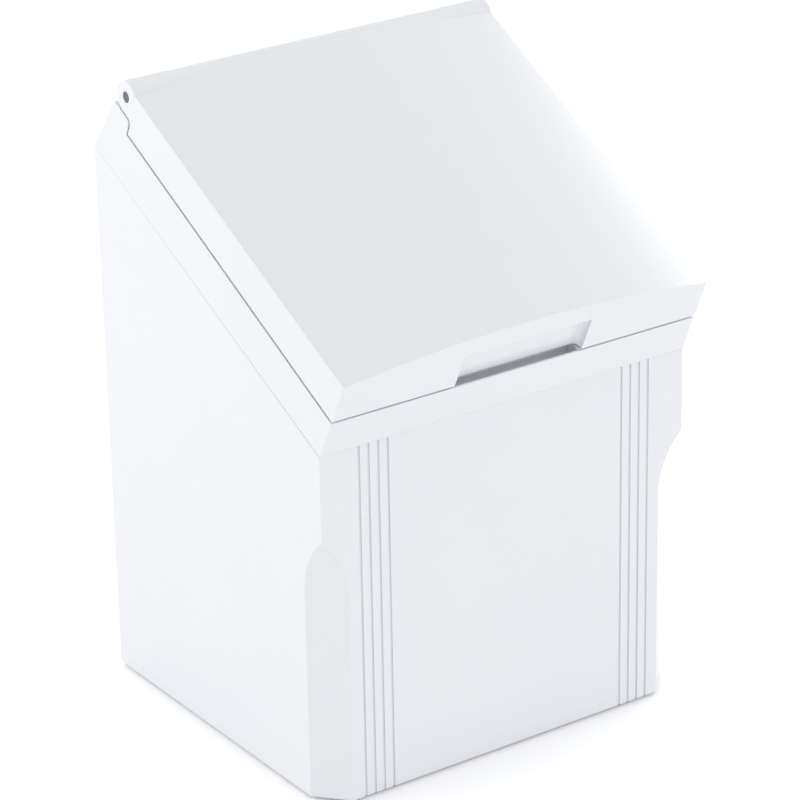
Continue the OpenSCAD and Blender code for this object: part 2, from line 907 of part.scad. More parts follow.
// Panel with two lugs and a pin under it that carry the rocker
module control_panel() {
  color("lightgray")
    on_slope() {
      difference() {
        block([-panel_half_w, panel_u - panel_half_d, -half_gap],
              [panel_half_w, panel_u + panel_half_d, panel_top]);
        translate([button_x, panel_u, -5]) cylinder(r = button_r + slip, h = 10);
        translate([lamp_x, panel_u, -5]) cylinder(r = lamp_r + slip, h = 10);
        block([rocker_x - rocker_w / 2 - slip, panel_u - rocker_d / 2 - slip, -5],
              [rocker_x + rocker_w / 2 + slip, panel_u + rocker_d / 2 + slip, 5]);
      }
      translate([rocker_x, panel_u, rocker_v]) {
        rod_x(rocker_pin_r, -rocker_lug_x, rocker_lug_x);
        for (side = [-1, 1])
          mirror_x(side)
            block([rocker_w / 2 + slip, -3, -3], [rocker_lug_x, 3, -rocker_v - half_gap + 0.5]);
      }
    }
}

module start_button() {
  low = deck_v - button_travel - 1;
  color("green")
    on_slope()
      translate([button_x, panel_u, low]) cylinder(r = button_r, h = panel_top + button_rise - low);
}

module status_lamp() {
  color("orange")
    on_slope()
      translate([lamp_x, panel_u, deck_v - 4]) cylinder(r = lamp_r, h = panel_top + 1 - deck_v + 4);
}

module power_rocker() {
  color("black")
    on_slope()
      translate([rocker_x, panel_u, rocker_v])
        difference() {
          along_x(rocker_w - 0.4)
            polygon([
              [-rocker_d / 2 + 1.4, -3], [rocker_d / 2 - 1.4, -3],
              [rocker_d / 2 - 0.6, 3.6], [0, 3], [-rocker_d / 2 + 0.6, 4.6]
            ]);
          rod_x(rocker_pin_r + run, -rocker_w, rocker_w);
        }
}

module limit_switch(z) {
  x = -upright_x + upright_t;
  color("black") {
    block([x, chamber_mid + beam_d / 2 + 4, z], [x + 10, chamber_mid + beam_d / 2 + 14, z + 20]);
    block([x + 3, chamber_mid + beam_d / 2 + 2, z + 3], [x + 7, chamber_mid + beam_d / 2 + 4, z + 6]);
  }
}

module lower_limit_switch() {
  limit_switch(beam_top - beam_h + 2);
}

module upper_limit_switch() {
  limit_switch(beam_top + ram_travel - beam_h + 2);
}

// ---------- lock ----------

module lid_sensor() {
  color("black")
    on_slope() block([92, striker_u - 6, deck_v - 10], [112, striker_u + 6, deck_v]);
}

module lid_magnet() {
  color("gray")
    on_slope() block([95, striker_u - 4, half_gap], [109, striker_u + 4, liner_v]);
}

cheek_x = 11;

module lock_bracket() {
  color(steel)
    on_slope() {
      difference() {
        block([-cheek_x - 2, wall + 0.5, pivot_v - 18], [cheek_x + 2, pivot_u + 8, deck_v]);
        block([-cheek_x, 0, pivot_v - 20], [cheek_x, pivot_u + 10, deck_v - 2]);
        block([-cheek_x - 5, 0, -half_gap - trough_h - trough_t - 2],
              [cheek_x + 5, trough_u1 + trough_t + 1.5, 10]);
        block([-cheek_x + 1, striker_u - 12, deck_v - 3], [cheek_x - 1, striker_u, 10]);
        translate([0, pivot_u, pivot_v]) rod_x(2.5, -30, 30);
      }
      translate([0, pivot_u, pivot_v]) rod_x(2.5 - fit, -cheek_x - 3, cheek_x + 3);
    }
}

hook_rise = 12;
hook_nose = 22;
arm_l = 12;
link_r = 1.25;

module lock_hook() {
  color("gray")
    on_slope()
      translate([0, pivot_u, pivot_v])
        rotate([lock_throw, 0, 0])
          difference() {
            along_x(hook_w) {
              circle(r = 5);
              translate([-4, 0]) square([8, hook_rise + 5]);
              translate([-4, hook_rise]) square([hook_nose + 4, 5]);
              translate([-3, -arm_l - 2.5]) square([6, arm_l + 2]);
            }
            rod_x(2.5 + run, -30, 30);
            block([-30, -link_r - 0.4, -arm_l - 3], [30, link_r + 0.4, -arm_l + 3.2]);
          }
}

plunger_r = 3;
solenoid_u0 = 4;
solenoid_u1 = 20;
plunger_v = pivot_v - arm_l * cos(lock_throw);

module lock_solenoid() {
  color("goldenrod")
    on_slope()
      difference() {
        block([-cheek_x, solenoid_u0, plunger_v - 8], [cheek_x, solenoid_u1, plunger_v + 8]);
        translate([0, solenoid_u0 + 2, plunger_v])
          rotate([-90, 0, 0]) cylinder(r = plunger_r + run, h = 30);
      }
}

plunger_stroke = arm_l * sin(lock_throw);

// Plunger with a fork whose pin rides in the slot of the hook's lower arm
module lock_plunger() {
  from = solenoid_u0 + 2 + plunger_stroke + 0.5;
  fork_u = solenoid_u1 + plunger_stroke + 0.6;
  pin_at = pivot_u + plunger_stroke;
  fork_x = hook_w / 2 + 0.5;
  color(steel)
    on_slope()
      translate([0, 0, plunger_v]) {
        translate([0, from, 0])
          rotate([-90, 0, 0]) cylinder(r = plunger_r, h = fork_u + 1 - from);
        difference() {
          block([-fork_x - 2, fork_u, -3], [fork_x + 2, pin_at + 3, 3]);
          block([-fork_x, fork_u + 2, -5], [fork_x, pin_at + 5, 5]);
        }
        translate([0, pin_at, 0]) rod_x(link_r, -fork_x - 1, fork_x + 1);
      }
}

// ---------- lid ----------

lid_half = half_w - collar_inset;

module lid_outline(inset) {
  low = inset > 0 ? -2 : half_gap;
  top_front = lid_t + crown - inset;
  top_rear = pin_v + knuckle_r - inset;
  rear = inset > 0 ? lid_inner_u1 : pin_u;
  polygon([
    [low * front_rate + inset, low],
    inset > 0 ? [rear, low] : [lid_step_u, low],
    inset > 0 ? [rear, low] : [lid_step_u + 2, cradle_v + cradle_gap],
    inset > 0 ? [rear, low] : [pin_u, cradle_v + cradle_gap],
    [rear, top_rear],
    [top_front * front_rate + inset, top_front]
  ]);
  if (inset == 0) translate([pin_u, pin_v]) circle(r = knuckle_r, $fn = 96);
}

module lid_section(inset) {
  half = lid_half - inset;
  top = lid_t - inset;
  narrow = half - lid_draft;
  arc_r = (narrow * narrow + crown * crown) / (2 * crown);
  low = -4;
  intersection() {
    polygon([
      [-half, low], [half, low], [half, 0],
      [half - lid_draft * (top + crown) / lid_t, top + crown],
      [-half + lid_draft * (top + crown) / lid_t, top + crown],
      [-half, 0]
    ]);
    translate([0, top + crown - arc_r]) circle(r = arc_r, $fn = 360);
  }
}

module lid_solid(inset) {
  intersection() {
    along_x(body_w + 40) lid_outline(inset);
    along_y(-60, rear_u + 60) lid_section(inset);
  }
}

boss_places = [
  for (x = [-1, 1], u = [liner_u0 + 14, (liner_u0 + lid_inner_u1) / 2, lid_inner_u1 - 12])
    [x * (lid_half - 24), u]
];

// Finger recess in the lid's front, with round inner corners
module finger_recess() {
  corner_x = recess_w / 2 - recess_r;
  translate([0, 0, -5])
    linear_extrude(recess_h + 5)
      hull() {
        translate([-recess_w / 2, -20]) square([recess_w, 20]);
        for (x = [-corner_x, corner_x]) translate([x, recess_depth - recess_r]) circle(r = recess_r);
      }
}

module lid_shell() {
  side = recess_w / 2;
  color(white)
    on_slope()
      difference() {
        union() {
          difference() {
            lid_solid(0);
            lid_solid(wall);
          }
          intersection() {
            lid_solid(0);
            union() {
              for (p = boss_places) translate([p[0], p[1], liner_v + liner_t]) cylinder(r = 5, h = 80);
              block([-side - wall, 1, half_gap], [side + wall, recess_depth + wall, recess_h + wall]);
            }
          }
        }
        finger_recess();
        for (p = boss_places) translate([p[0], p[1], liner_v - 1]) cylinder(r = 2, h = 11);
        for (s = [-1, 1]) {
          translate([0, pin_u, pin_v]) {
            mirror_x(s) rod_x(hinge_pin_r, pin_start - 0.5, half_w + 5);
            rod_x(lug_r + clear, s * lug_x - lug_w / 2 - clear, s * lug_x + lug_w / 2 + clear);
            along_x(lug_w + 2 * clear, s * lug_x)
              polygon([
                [0, 0], 30 * [cos(225), sin(225)], [0, -40],
                [40, -40], [40, 0], 30 * [cos(50), sin(50)]
              ]);
          }
        }
      }
}

module lid_liner() {
  half = lid_half - wall - 0.7;
  notch_half = recess_w / 2 + wall + 1;
  color("silver")
    on_slope()
      difference() {
        block([-half, liner_u0, liner_v], [half, lid_inner_u1 - slip, liner_v + liner_t]);
        block([-notch_half, 0, 0], [notch_half, notch_u, 20]);
        for (p = boss_places) translate([p[0], p[1], 0]) cylinder(r = 2 + slip, h = 20);
        for (i = [-2 : 2]) block([-30, filter_u + i * 9 - 2, 0], [30, filter_u + i * 9 + 2, 20]);
      }
}

module liner_screws() {
  color(steel)
    on_slope()
      for (p = boss_places)
        translate([p[0], p[1], 0]) {
          translate([0, 0, liner_v - 2.2]) cylinder(r = 4, h = 2.2);
          translate([0, 0, liner_v - 1]) cylinder(r = 2 - fit, h = 10);
        }
}

anvil_gap = 7;
anvil_v = -6;
anvil_u0 = mouth_u0 + anvil_gap;
anvil_u1 = u_at(mouth_y1, anvil_v) - anvil_gap;
filter_u = (anvil_u0 + anvil_u1) / 2;

module anvil_plate() {
  half = mouth_half - anvil_gap;
  color("silver")
    on_slope()
      difference() {
        block([-half, anvil_u0, anvil_v], [half, anvil_u1, liner_v]);
        block([-half + 2, anvil_u0 + 2, anvil_v + 2], [half - 2, anvil_u1 - 2, liner_v + 1]);
        for (i = [-2 : 2]) block([-30, filter_u + i * 9 - 2, -20], [30, filter_u + i * 9 + 2, 20]);
      }
}

module lid_gasket() {
  low = -half_gap + 0.2;
  gasket_u1 = min(mouth_u1 + gasket_reach, panel_u - panel_half_d - panel_gap);
  color("black")
    on_slope()
      difference() {
        block([-mouth_half - 9, mouth_u0 - 9, low], [mouth_half + 9, gasket_u1, liner_v]);
        block([-mouth_half - 5, mouth_u0 - 5, -5], [mouth_half + 5, mouth_u1 + 5, 10]);
      }
}

module charcoal_filter() {
  color("black")
    on_slope() block([-45, filter_u - 32, liner_v + liner_t], [45, filter_u + 32, liner_v + liner_t + 14]);
}

module lid_striker() {
  color(steel)
    on_slope()
      difference() {
        union() {
          block([-8, striker_u, striker_v], [8, striker_u + striker_t, liner_v]);
          block([-14, striker_u, liner_v - 2], [14, striker_u + 14, liner_v]);
        }
        block([-5, striker_u - 1, pivot_v + hook_rise - 2],
              [5, striker_u + striker_t + 1, pivot_v + hook_rise + 11.5]);
      }
}

module hinge_pin(side) {
  color("gray")
    on_slope()
      translate([0, pin_u, pin_v])
        mirror_x(side) rod_x(hinge_pin_r - fit, pin_start, pin_end);
}

// ---------- the object ----------

casing();
collar();
rear_cover();
base_tray();
rubber_feet();
chamber_liner();
upright(-1);  // upright_left
upright(1);  // upright_right
front_rail();
rear_rail();
hinge_bush(-1);  // hinge_bush_left
hinge_bush(1);  // hinge_bush_right
lower_bearing(-1);  // lower_bearing_left
lower_bearing(1);  // lower_bearing_right
upper_bearing(-1);  // upper_bearing_left
upper_bearing(1);  // upper_bearing_right
drive_motor();
motor_bracket();
drive_belt();
idler_bracket();
control_board();
motor_capacitor();
power_inlet();
control_panel();
status_lamp();
lower_limit_switch();
upper_limit_switch();
lid_sensor();
lock_bracket();
lock_solenoid();
bag_ring();
cover_screws();
frame_screws();
lid_shell();
lid_liner();
anvil_plate();
lid_gasket();
hinge_pin(-1);  // hinge_pin_left
hinge_pin(1);  // hinge_pin_right
lid_striker();
lid_magnet();
charcoal_filter();
liner_screws();
ram_plate();
ram_wiper();
ram_beam();
screw_nut(-1);  // screw_nut_left
screw_nut(1);  // screw_nut_right
ram_bolts();
lift_screw(-1);  // lift_screw_left
lift_screw(1);  // lift_screw_right
screw_pulley(-1);  // screw_pulley_left
screw_pulley(1);  // screw_pulley_right
motor_shaft();
motor_pulley();
idler_roller();
lock_hook();
lock_plunger();
start_button();
power_rocker();
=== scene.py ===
import json
import math

import bpy
from mathutils import Matrix, Vector


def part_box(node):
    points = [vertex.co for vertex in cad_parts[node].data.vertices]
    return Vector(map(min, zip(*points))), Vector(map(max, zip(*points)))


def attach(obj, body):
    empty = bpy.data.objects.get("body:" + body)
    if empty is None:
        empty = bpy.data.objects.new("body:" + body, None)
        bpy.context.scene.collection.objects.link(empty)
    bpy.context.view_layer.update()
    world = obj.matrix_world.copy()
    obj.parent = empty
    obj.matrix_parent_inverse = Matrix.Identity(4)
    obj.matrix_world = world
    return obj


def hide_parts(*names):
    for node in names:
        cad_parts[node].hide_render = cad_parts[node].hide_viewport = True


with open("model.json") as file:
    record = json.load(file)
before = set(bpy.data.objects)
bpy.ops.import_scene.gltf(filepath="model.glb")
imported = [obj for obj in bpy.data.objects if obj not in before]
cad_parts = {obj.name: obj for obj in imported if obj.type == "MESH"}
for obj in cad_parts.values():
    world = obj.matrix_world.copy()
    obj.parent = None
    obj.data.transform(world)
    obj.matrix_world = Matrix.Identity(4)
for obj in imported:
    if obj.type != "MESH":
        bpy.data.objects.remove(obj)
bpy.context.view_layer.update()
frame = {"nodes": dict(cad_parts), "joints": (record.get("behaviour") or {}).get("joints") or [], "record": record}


# places taken from the frame

joints = {joint["name"]: joint for joint in frame["joints"]}
buttonAxis = joints["start_button_press"]["axis"]
slope = math.atan2(buttonAxis[1], -buttonAxis[2])  # the lid's slope
hingePoint = Vector(joints["lid_hinge"]["pos_m"])
alongSlope = Vector((0, math.cos(slope), math.sin(slope)))
offSlope = Vector((0, -math.sin(slope), math.cos(slope)))

lidPlace = {
    "hingeAlong": 0.3614,  # from the front parting edge to the hinge axis
    "hingeAbove": 0.0295,  # from the parting plane to the hinge axis
    "pinRadius": (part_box("hinge_pin_left")[1].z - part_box("hinge_pin_left")[0].z) / 2,
    "bushWall": 0.002,
    "lugWall": 0.0025,
}
partingPoint = hingePoint - alongSlope * lidPlace["hingeAlong"] - offSlope * lidPlace["hingeAbove"]
slopeTurn = Matrix.Translation(partingPoint) @ Matrix.Rotation(slope, 4, "X")
slopeBack = slopeTurn.inverted()
slopeOut = slopeTurn.to_3x3() @ Vector((0, 0, 1))

casingLow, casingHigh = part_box("casing")
halfWidth = casingHigh.x
frontY = casingLow.y
rearY = casingHigh.y
baseZ = casingLow.z

nodeBody = {node: body for body, nodes in frame["record"]["behaviour"]["bodies"].items() for node in nodes}
nodeSlot = {part["node"]: part["material_slot"] for part in frame["record"]["subparts"]}


# bench tools

def clearPick():
    if bpy.context.object and bpy.context.object.mode != "OBJECT":
        bpy.ops.object.mode_set(mode="OBJECT")
    bpy.ops.object.select_all(action="DESELECT")


def takeUp(piece):
    clearPick()
    piece.select_set(True)
    bpy.context.view_layer.objects.active = piece
    return piece


def putDown():
    bpy.ops.object.mode_set(mode="OBJECT")


def settle(piece, name):
    takeUp(piece)
    bpy.ops.object.transform_apply(location=True, rotation=True, scale=True)
    piece.name = name
    piece.data.name = name
    return piece


def blockAt(name, low, high):
    clearPick()
    low, high = Vector(low), Vector(high)
    bpy.ops.mesh.primitive_cube_add(size=1, location=(low + high) / 2)
    piece = bpy.context.object
    piece.scale = high - low
    return settle(piece, name)


def rodAt(name, start, end, radius, sides=48):
    clearPick()
    start, end = Vector(start), Vector(end)
    turn = (end - start).to_track_quat("Z", "Y").to_euler()
    bpy.ops.mesh.primitive_cylinder_add(
        radius=radius, vertices=sides, depth=(end - start).length,
        location=(start + end) / 2, rotation=turn,
    )
    return settle(bpy.context.object, name)


def openAll(piece):  # into edit mode with all of the mesh picked
    takeUp(piece)
    bpy.ops.object.mode_set(mode="EDIT")
    bpy.ops.mesh.select_all(action="SELECT")


def startPick(piece, kind):  # nothing picked, ready for a test on each face, point or edge
    takeUp(piece)
    bpy.ops.object.mode_set(mode="EDIT")
    bpy.ops.mesh.select_mode(type=kind)
    bpy.ops.mesh.select_all(action="DESELECT")
    putDown()


def pickFaces(piece, test):
    startPick(piece, "FACE")
    for face in piece.data.polygons:
        face.select = test(face.center, face.normal)
    bpy.ops.object.mode_set(mode="EDIT")


def pickPoints(piece, test):
    startPick(piece, "VERT")
    for point in piece.data.vertices:
        point.select = test(point.co)
    bpy.ops.object.mode_set(mode="EDIT")


def pickEdges(piece, test):
    startPick(piece, "EDGE")
    points = piece.data.vertices
    for edge in piece.data.edges:
        edge.select = test(*(points[i].co for i in edge.vertices))
    bpy.ops.object.mode_set(mode="EDIT")


def movePicked(x, y, z):
    bpy.ops.transform.translate(value=(x, y, z))
    putDown()


def roundPicked(radius, segments=8):
    bpy.ops.mesh.bevel(offset=radius, segments=segments, affect="EDGES")
    putDown()


def trim(piece, point, normal):  # cuts away what lies on the normal's side of a plane, and closes the cut
    openAll(piece)
    bpy.ops.mesh.bisect(plane_co=point, plane_no=normal, use_fill=True, clear_outer=True)
    putDown()


def score(piece, point, normal):  # adds a line of points where a plane crosses
    openAll(piece)
    bpy.ops.mesh.bisect(plane_co=point, plane_no=normal)
    putDown()


def modify(piece, kind, **settings):
    takeUp(piece)
    step = piece.modifiers.new(kind, kind)
    for key, value in settings.items():
        setattr(step, key, value)
    bpy.ops.object.modifier_apply(modifier=step.name)
    return piece


def combine(piece, other, operation="DIFFERENCE"):
    modify(piece, "BOOLEAN", object=other, operation=operation, solver="EXACT")
    bpy.data.objects.remove(other)
    return piece


def join(name, parts):
    clearPick()
    for part in parts:
        part.select_set(True)
    bpy.context.view_layer.objects.active = parts[0]
    bpy.ops.object.join()
    parts[0].name = name
    parts[0].data.name = name
    return parts[0]


def easeEdges(piece, width, segments=3, angle=28):
    return modify(
        piece, "BEVEL", width=width, segments=segments, limit_method="ANGLE",
        angle_limit=math.radians(angle), use_clamp_overlap=True,
    )


def tidyMesh(piece, distance=0.00002):
    openAll(piece)
    bpy.ops.mesh.remove_doubles(threshold=distance)
    bpy.ops.mesh.normals_make_consistent(inside=False)
    putDown()
    return piece


def ontoSlope(piece):  # from the slope's own axes to the frame
    piece.data.transform(slopeTurn)
    return piece


def cornersIn(piece, turn):  # lowest and highest corner in turned axes
    points = [turn @ point.co for point in piece.data.vertices]
    return [Vector([pick(point[i] for point in points) for i in range(3)]) for pick in (min, max)]


def smooth(piece, angle):  # broad faces stay flat beside their bevels
    takeUp(piece)
    bpy.ops.object.shade_smooth_by_angle(angle=math.radians(angle))
    return modify(piece, "WEIGHTED_NORMAL", keep_sharp=True, weight=90)


def fit(piece, finish, node, angle=32):  # finish, body and the CAD node that the piece stands for
    smooth(piece, angle)
    piece.data.materials.clear()
    piece.data.materials.append(finishes[finish])
    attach(piece, nodeBody[node])
    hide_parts(node)
    return piece


# finishes

class Tone:  # a shader socket that can be used in sums
    def __init__(self, tree, socket):
        self.tree = tree
        self.socket = socket

    def sum(self, operation, first, second):
        return self.add("ShaderNodeMath", {"operation": operation}, {0: first, 1: second})

    def __add__(self, other):
        return self.sum("ADD", self, other)

    def __radd__(self, other):
        return self.sum("ADD", other, self)

    def __sub__(self, other):
        return self.sum("SUBTRACT", self, other)

    def __rsub__(self, other):
        return self.sum("SUBTRACT", other, self)

    def __mul__(self, other):
        return self.sum("MULTIPLY", self, other)

    def __rmul__(self, other):
        return self.sum("MULTIPLY", other, self)

    def add(self, kind, settings=None, inputs=None, output=0):
        node = self.tree.nodes.new(kind)
        for key, value in (settings or {}).items():
            setattr(node, key, value)
        for key, value in (inputs or {}).items():
            if isinstance(value, Tone):
                self.tree.links.new(value.socket, node.inputs[key])
            else:
                node.inputs[key].default_value = value
        return Tone(self.tree, node.outputs[output])


finishes = {}


def startFinish(name, **fixed):  # the shader and the object's own coordinates
    material = bpy.data.materials.new(name)
    material.use_nodes = True
    shader = material.node_tree.nodes["Principled BSDF"]
    for socket, value in fixed.items():
        shader.inputs[socket.replace("_", " ")].default_value = value
    place = Tone(material.node_tree, None).add("ShaderNodeTexCoord", output=3)
    finishes[name] = material
    return shader, place


def feed(shader, **sockets):
    for socket, tone in sockets.items():
        shader.id_data.links.new(tone.socket, shader.inputs[socket.replace("_", " ")])


def cloud(place, scale, detail=3.0, rough=0.5, stretch=(1, 1, 1)):
    turned = place.add("ShaderNodeMapping", {}, {"Vector": place, "Scale": stretch})
    return place.add(
        "ShaderNodeTexNoise", {}, {"Vector": turned, "Scale": scale, "Detail": detail, "Roughness": rough}
    )


def spread(tone, low, high, start=0.3, end=0.7):
    return tone.add(
        "ShaderNodeMapRange", {},
        {"Value": tone, "From Min": start, "From Max": end, "To Min": low, "To Max": high},
    )


def blendColour(tone, first, second):
    return tone.add("ShaderNodeMix", {"data_type": "RGBA"}, {0: tone, 6: first, 7: second}, output=2)


def relief(tone, distance, strength=1.0):
    return tone.add("ShaderNodeBump", {}, {"Height": tone, "Distance": distance, "Strength": strength})


def makeMoulding(name, base, shade, roughness, grain, grainDepth):  # spark-eroded moulded plastic
    shader, place = startFinish(name, Roughness=roughness, IOR=1.5)
    drift = cloud(place, scale=7.0, detail=4.0)
    fine = cloud(place, scale=grain, detail=2.0, rough=0.6)
    feed(
        shader,
        Base_Color=blendColour(spread(drift, 0.0, 1.0), base, shade),
        Roughness=spread(fine, roughness - 0.04, roughness + 0.05) + spread(drift, -0.015, 0.015),
        Normal=relief(fine, grainDepth, strength=0.5),
    )


def makeSheet(name, base, shade, roughness, grainStretch):  # rolled or brushed metal sheet
    shader, place = startFinish(name, Metallic=1.0, Roughness=roughness)
    grain = cloud(place, scale=1300.0, detail=2.0, rough=0.6, stretch=grainStretch)
    stain = cloud(place, scale=11.0, detail=5.0)
    mixed = grain * 0.5 + stain * 0.5
    feed(
        shader,
        Base_Color=blendColour(spread(mixed, 0.0, 1.0, start=0.35, end=0.65), base, shade),
        Roughness=spread(grain, roughness - 0.05, roughness + 0.07) + spread(stain, -0.03, 0.04),
        Normal=relief(grain, 0.00001, strength=0.3),
    )


def makeSpangle(name, base, shade, roughness):  # zinc plate
    shader, place = startFinish(name, Metallic=1.0, Roughness=roughness)
    flake = place.add("ShaderNodeTexVoronoi", {}, {"Vector": place, "Scale": 110.0}, output=1)
    tint = flake.add("ShaderNodeSeparateColor", {}, {0: flake})
    haze = cloud(place, scale=30.0, detail=4.0)
    dulled = spread(tint, roughness - 0.06, roughness + 0.08, start=0.0, end=1.0)
    feed(
        shader,
        Base_Color=blendColour(spread(tint, 0.0, 1.0, start=0.0, end=1.0), base, shade),
        Roughness=dulled + spread(haze, -0.04, 0.06),
        Normal=relief(haze, 0.0001, strength=0.3),
    )


def makeTurned(name, base, shade, roughness):  # turned or ground bar
    shader, place = startFinish(name, Metallic=1.0, Roughness=roughness)
    rings = cloud(place, scale=90.0, detail=2.0, rough=0.5, stretch=(1, 1, 24))
    film = cloud(place, scale=40.0, detail=4.0)
    feed(
        shader,
        Base_Color=blendColour(spread(film, 0.0, 1.0), base, shade),
        Roughness=spread(rings, roughness - 0.06, roughness + 0.1),
        Normal=relief(rings, 0.00004, strength=0.5),
    )


def makeRubber(name, base, shade, roughness):
    shader, place = startFinish(name, Roughness=roughness)
    pores = cloud(place, scale=900.0, detail=2.0, rough=0.6)
    bloom = cloud(place, scale=24.0, detail=4.0)
    feed(
        shader,
        Base_Color=blendColour(spread(bloom, 0.0, 1.0), base, shade),
        Roughness=spread(pores, roughness - 0.08, roughness + 0.08),
        Normal=relief(pores, 0.00008, strength=0.6),
    )


# name, colour, second colour, roughness; then a moulding's grain scale and depth or a sheet's grain stretch
makeMoulding("cabinetWhite", (0.73, 0.742, 0.775, 1), (0.72, 0.732, 0.767, 1), 0.21, 1600.0, 0.00002)
makeMoulding("coverGrey", (0.56, 0.57, 0.59, 1), (0.53, 0.54, 0.56, 1), 0.55, 900.0, 0.00008)
makeMoulding("darkPlastic", (0.012, 0.012, 0.014, 1), (0.02, 0.02, 0.022, 1), 0.45, 1100.0, 0.00006)
makeMoulding("nylon", (0.72, 0.70, 0.62, 1), (0.66, 0.64, 0.55, 1), 0.4, 800.0, 0.00004)
makeMoulding("buttonGreen", (0.01, 0.16, 0.045, 1), (0.012, 0.19, 0.055, 1), 0.28, 1300.0, 0.00002)
makeMoulding("lampAmber", (0.75, 0.24, 0.02, 1), (0.85, 0.32, 0.04, 1), 0.18, 700.0, 0.00003)
makeMoulding("motorPaint", (0.022, 0.024, 0.028, 1), (0.032, 0.034, 0.04, 1), 0.4, 500.0, 0.00012)
makeMoulding("boardGreen", (0.006, 0.075, 0.03, 1), (0.012, 0.13, 0.05, 1), 0.3, 240.0, 0.00004)
makeSheet("stainless", (0.56, 0.56, 0.57, 1), (0.48, 0.48, 0.50, 1), 0.3, (1, 0.02, 1))
makeSheet("canAluminium", (0.62, 0.63, 0.65, 1), (0.55, 0.56, 0.58, 1), 0.34, (1, 1, 0.03))
makeSpangle("zincSheet", (0.50, 0.51, 0.54, 1), (0.38, 0.39, 0.42, 1), 0.4)
makeTurned("brightSteel", (0.52, 0.52, 0.53, 1), (0.44, 0.44, 0.46, 1), 0.26)
makeTurned("pinSteel", (0.20, 0.20, 0.205, 1), (0.15, 0.15, 0.155, 1), 0.45)
makeTurned("bronze", (0.50, 0.30, 0.10, 1), (0.42, 0.24, 0.08, 1), 0.33)
makeTurned("magnetGrey", (0.10, 0.10, 0.105, 1), (0.07, 0.07, 0.075, 1), 0.5)
makeRubber("blackRubber", (0.012, 0.012, 0.012, 1), (0.022, 0.022, 0.021, 1), 0.62)
makeRubber("filterBlack", (0.01, 0.01, 0.011, 1), (0.03, 0.03, 0.03, 1), 0.85)

slotFinish = {
    "shell_white": "cabinetWhite", "cover_grey": "coverGrey", "sheet_steel": "zincSheet",
    "stainless": "stainless", "bright_steel": "brightSteel", "bronze": "bronze",
    "black_rubber": "blackRubber", "dark_plastic": "darkPlastic", "nylon": "nylon",
    "motor_paint": "motorPaint", "board_green": "boardGreen", "can_aluminium": "canAluminium",
    "button_green": "buttonGreen", "lamp_amber": "lampAmber", "felt_black": "filterBlack",
    "magnet_grey": "magnetGrey",
}
print("finishes made:", len(finishes))


# casing

casingSet = {
    "wall": 0.003,
    "frontHeight": 0.329,
    "edgeSlope": math.radians(27),
    "chamferX": 0.0256,
    "chamferY": 0.028,
    "chamferHeight": 0.197,
    "scoopHeight": 0.055,
    "scoopReach": 0.035,  # half length of the cutter along the chamfer
    "scoopSides": 256,
    "grooveCount": 4,
    "grooveFirst": 0.0387,
    "groovePitch": 0.0097,
    "grooveWidth": 0.0026,
    "grooveDepth": 0.0012,
    "overcut": 0.002,
    "flange": (0.012, 0.0025),  # width and thickness
    "flangeFoot": 0.004,
    "flangeHead": 0.03,
    "flangeEdge": 0.0004,
    "spare": 0.02,  # height that the slope's cut takes off
    "edge": 0.0007,
}


def scoopCutter(side):  # what a front corner loses: a straight chamfer that ends in an arch
    s = casingSet
    length = math.hypot(s["chamferX"], s["chamferY"])
    depth = s["chamferX"] * s["chamferY"] / length
    radius = (s["scoopHeight"] ** 2 + depth ** 2) / (2 * depth)
    outward = Vector((side * s["chamferY"], -s["chamferX"], 0)).normalized()
    across = Vector((-outward.y, outward.x, 0))
    arcZ = baseZ + s["chamferHeight"]
    middle = Vector((side * halfWidth, frontY, arcZ)) + outward * (radius - depth)
    reach = across * s["scoopReach"]
    cutter = rodAt("scoop", middle - reach, middle + reach, radius, s["scoopSides"])
    trim(cutter, (0, 0, arcZ), (0, 0, -1))
    pickFaces(cutter, lambda centre, normal: normal.z < -0.99)
    bpy.ops.mesh.extrude_region_move(TRANSFORM_OT_translate={"value": (0, 0, -arcZ - 0.01)})
    putDown()
    return cutter


def cutGrooves(shell, top):
    s = casingSet
    first = halfWidth - s["grooveFirst"]
    groove = blockAt(
        "groove",
        (first - s["grooveWidth"] / 2, frontY - s["overcut"], baseZ - s["overcut"]),
        (first + s["grooveWidth"] / 2, frontY + s["grooveDepth"], top + 0.01),
    )
    modify(
        groove, "ARRAY", count=s["grooveCount"], use_relative_offset=False, use_constant_offset=True,
        constant_offset_displace=(-s["groovePitch"], 0, 0),
    )
    modify(groove, "MIRROR", use_axis=(True, False, False), use_clip=False)
    combine(shell, tidyMesh(groove))


def makeFlange(side):  # what the rear cover is screwed to
    s = casingSet
    width, thick = s["flange"]
    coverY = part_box("rear_cover")[0].y
    ends = side * (halfWidth - s["wall"]), side * (halfWidth - s["wall"] - width)
    low = min(ends), coverY - thick, baseZ + s["flangeFoot"]
    high = max(ends), coverY, casingHigh.z - s["flangeHead"]
    return blockAt("flange", low, high)


def makeCasing():
    s = casingSet
    edgeZ = baseZ + s["frontHeight"]
    shell = blockAt("casingShell", casingLow, casingHigh + Vector((0, 0, s["spare"])))
    trim(shell, (0, frontY, edgeZ), (0, -math.sin(s["edgeSlope"]), math.cos(s["edgeSlope"])))
    for side in (-1, 1):
        combine(shell, scoopCutter(side))
    tidyMesh(shell)
    pickFaces(shell, lambda centre, normal: abs(normal.z) > 0.8 or normal.y > 0.9)  # top, bottom and back
    bpy.ops.mesh.delete(type="FACE")
    putDown()
    modify(shell, "SOLIDIFY", thickness=s["wall"], offset=-1, use_even_offset=True)
    cutGrooves(shell, edgeZ)
    easeEdges(shell, s["edge"], 2)
    flanges = [makeFlange(side) for side in (-1, 1)]
    for flange in flanges:
        easeEdges(flange, s["flangeEdge"], 2)
    return fit(join("casingShell", [shell, *flanges]), "cabinetWhite", "casing", angle=24)


